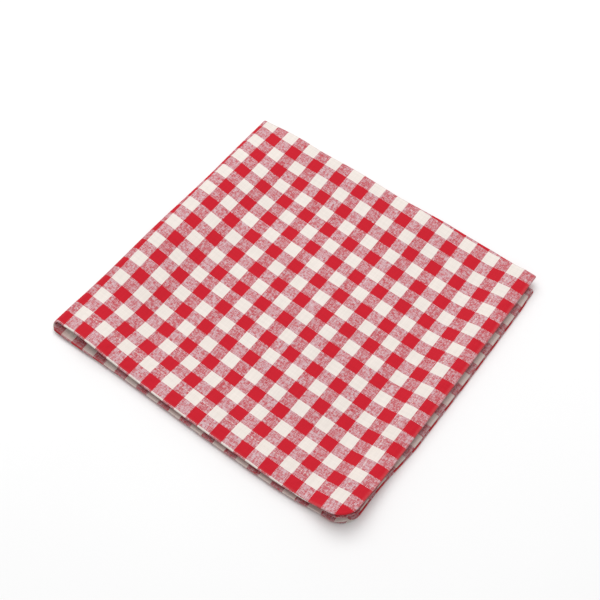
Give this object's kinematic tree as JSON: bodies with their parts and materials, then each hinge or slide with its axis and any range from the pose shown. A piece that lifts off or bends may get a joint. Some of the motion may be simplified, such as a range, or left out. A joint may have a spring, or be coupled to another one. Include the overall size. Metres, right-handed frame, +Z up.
{
  "type": "table cloth",
  "caption": "Small red and cream gingham table cloth in woven cotton, hemmed all round and folded in quarters, with an upper leaf that opens on its side fold.",
  "frame": {"origin": "middle of the folded cloth's footprint, on the surface that it lies on", "axes": "+X from the double fold to the open side edge, +Y from the open front edge to the back fold, +Z up through the layers"},
  "size_m": [0.25, 0.235, 0.009],
  "materials": {
    "checked_cotton": "plain woven cotton, red and cream checks, matt",
    "thread": "cream cotton sewing thread, matt"
  },
  "bodies": {
    "lower_leaf": {"panel_1_bottom": "checked_cotton", "panel_2": "checked_cotton", "back_fold_lower": "checked_cotton", "left_fold_outer_lower": "checked_cotton", "left_fold_inner_lower": "checked_cotton", "front_hem_1": "checked_cotton", "front_hem_2": "checked_cotton", "side_hem_1": "checked_cotton", "side_hem_2": "checked_cotton", "front_stitching_1": "thread", "front_stitching_2": "thread", "side_stitching_1": "thread", "side_stitching_2": "thread"},
    "upper_leaf": {"panel_3": "checked_cotton", "panel_4_top": "checked_cotton", "back_fold_upper": "checked_cotton", "left_fold_inner_upper": "checked_cotton", "left_fold_outer_upper": "checked_cotton", "front_hem_3": "checked_cotton", "front_hem_4": "checked_cotton", "side_hem_3": "checked_cotton", "side_hem_4": "checked_cotton", "front_stitching_3": "thread", "front_stitching_4": "thread", "side_stitching_3": "thread", "side_stitching_4": "thread"}
  },
  "joints": [
    {"name": "unfold", "type": "hinge", "parent": "lower_leaf", "child": "upper_leaf", "pos_m": [-0.12172, 0, 0.0044], "axis": [-0.0279, -0.9996, 0], "range_deg": [0, 180]}
  ]
}
